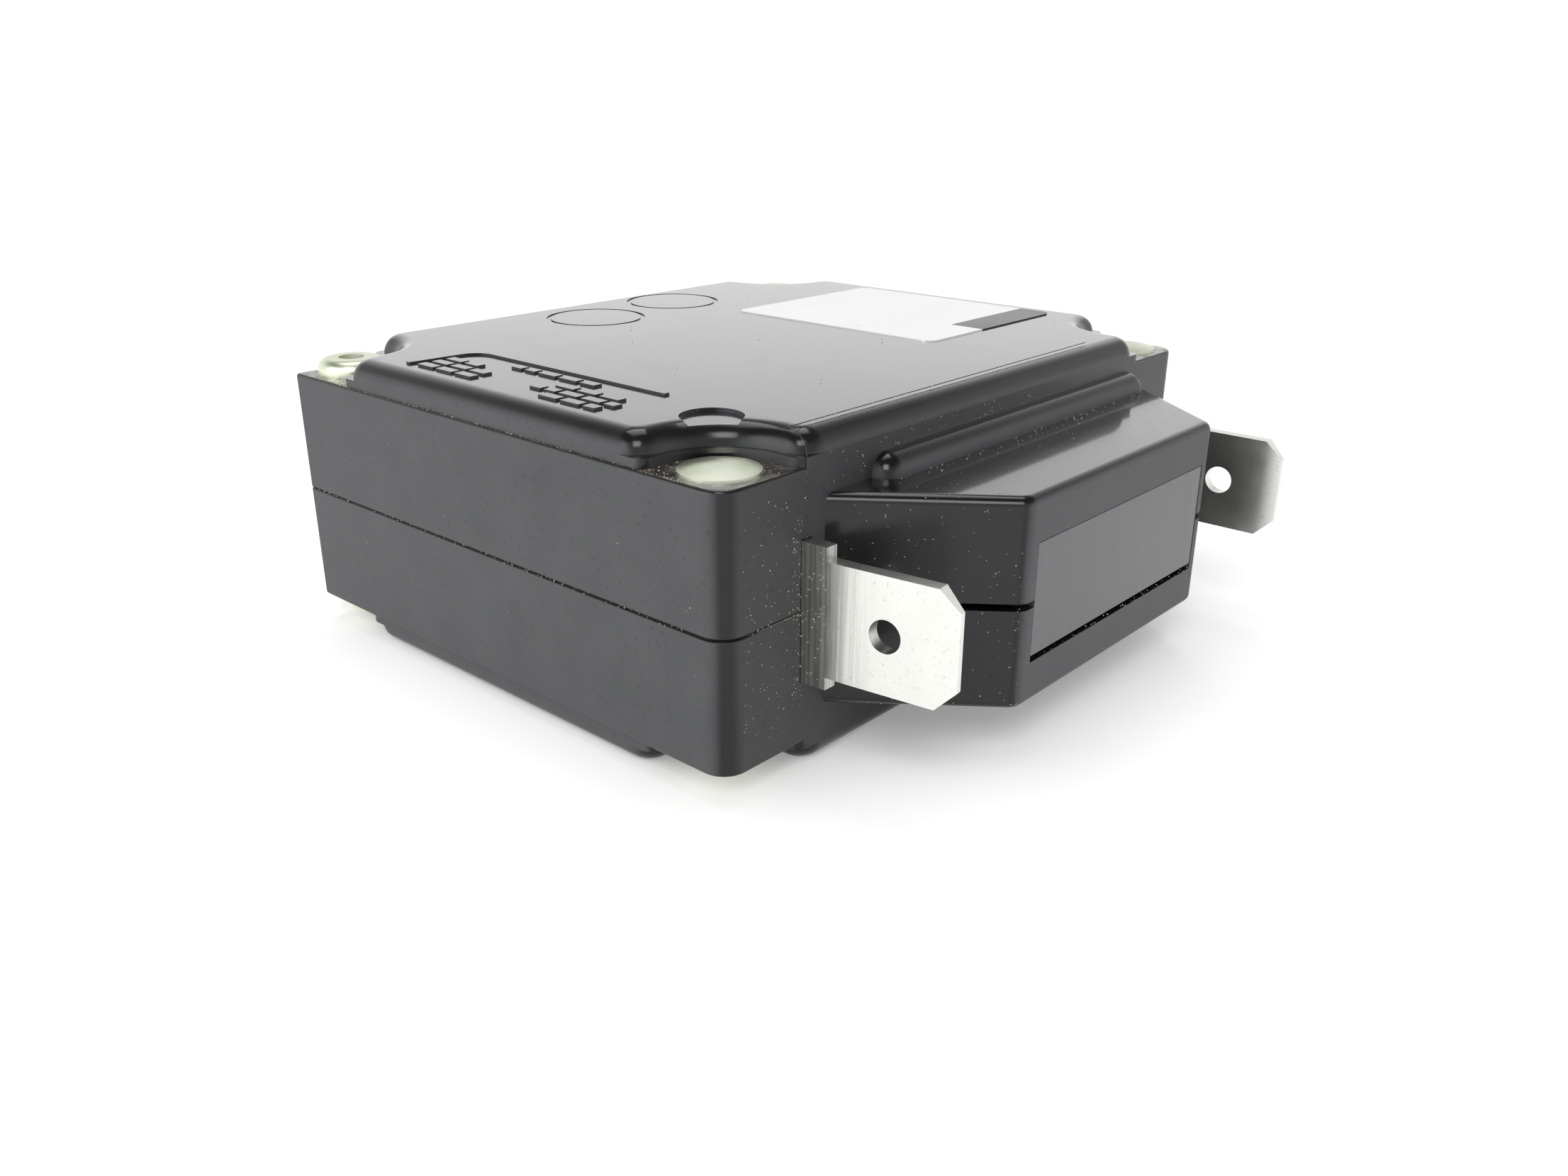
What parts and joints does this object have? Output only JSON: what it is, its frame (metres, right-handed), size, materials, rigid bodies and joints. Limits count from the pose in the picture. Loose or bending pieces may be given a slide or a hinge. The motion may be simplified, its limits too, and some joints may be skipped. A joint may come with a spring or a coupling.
{
  "type": "circuit breaker",
  "caption": "Slim black toggle circuit breaker, two riveted shells with a tapered rear block and two flat push-on tabs.",
  "frame": {"origin": "centre of the panel face (the front wall's outer face), on the parting plane of the two shells", "axes": "+X along the case from the line side to the load side, +Y from the panel face to the rear terminals, +Z through the thickness"},
  "size_m": [0.0462, 0.0593, 0.0187],
  "materials": {
    "case_black": "glossy raised fields, matte end walls",
    "plate_black": "satin",
    "handle_black": "fine matte",
    "label_foil": "satin foil, blank",
    "nickel_plate": "pale nickel, slightly yellow",
    "tin_plate": "bright tin plate",
    "brass": "turned",
    "steel": "zinc plated",
    "spring_steel": "drawn wire",
    "copper": "bare copper",
    "silver": "silver contact",
    "iron": "soft iron",
    "nylon": "natural nylon",
    "fibre": "vulcanised fibre",
    "enamel_wire": "enamelled copper"
  },
  "bodies": {
    "case": {"upper_case_half": "case_black", "lower_case_half": "case_black", "rear_blanking_plate": "plate_black", "rear_rivets": "nickel_plate", "front_rivets": "nickel_plate", "panel_inserts": "brass", "side_label": "label_foil", "line_terminal": "tin_plate", "load_terminal": "tin_plate", "fixed_contact": "silver", "handle_pin": "steel", "arm_pin": "steel", "handle_spring": "spring_steel", "contact_spring": "spring_steel", "magnet_frame": "iron", "coil_bobbin": "nylon", "coil_winding": "enamel_wire", "delay_tube": "brass", "pole_piece": "iron", "plunger_spring": "spring_steel", "coil_lead": "enamel_wire", "flexible_braid": "copper", "armature_pin": "steel", "armature_spring": "spring_steel", "lever_pin": "steel", "arc_chute_plates": "steel", "arc_chute_sides": "fibre"},
    "handle": {"toggle_handle": "handle_black", "crank_pin": "steel"},
    "links": {"toggle_links": "steel"},
    "contact_arm": {"contact_arm": "copper", "moving_contact": "silver", "link_pin": "steel"},
    "armature": {"armature": "iron"},
    "trip_lever": {"trip_lever": "steel"},
    "plunger": {"plunger_core": "iron"}
  },
  "joints": [
    {"name": "handle_hinge", "type": "hinge", "parent": "case", "child": "handle", "pos_m": [0, 0.0068, 0], "axis": [0, 0, -1], "range_deg": [0, 38], "deforming": ["handle_spring"]},
    {"name": "link_hinge", "type": "hinge", "parent": "handle", "child": "links", "pos_m": [-0.00284, 0.00582, 0], "axis": [0, 0, -1], "range_deg": [-38, 0]},
    {"name": "contact_arm_hinge", "type": "hinge", "parent": "case", "child": "contact_arm", "pos_m": [0.005, 0.016, 0], "axis": [0, 0, -1], "range_deg": [0, 14.04], "deforming": ["contact_spring"]},
    {"name": "armature_hinge", "type": "hinge", "parent": "case", "child": "armature", "pos_m": [0.0119, 0.0208, 0], "axis": [0, 0, 1], "range_deg": [0, 9], "stiffness_Nm_per_rad": 0.004, "springref_deg": -5.73, "deforming": ["armature_spring"]},
    {"name": "trip_lever_hinge", "type": "hinge", "parent": "case", "child": "trip_lever", "pos_m": [0.0136, 0.0126, 0], "axis": [0, 0, -1], "range_deg": [0, 16.7]},
    {"name": "plunger_slide", "type": "slide", "parent": "case", "child": "plunger", "axis": [1, 0, 0], "range_m": [0, 0.0045], "stiffness_N_per_m": 20, "springref_m": -0.002, "deforming": ["plunger_spring"]}
  ],
  "couplings": [
    {"joint": "link_hinge", "follows": "handle_hinge", "ratio": -1},
    {"joint": "contact_arm_hinge", "follows": "handle_hinge", "ratio": 0.36909},
    {"joint": "trip_lever_hinge", "follows": "armature_hinge", "ratio": 1.85}
  ]
}
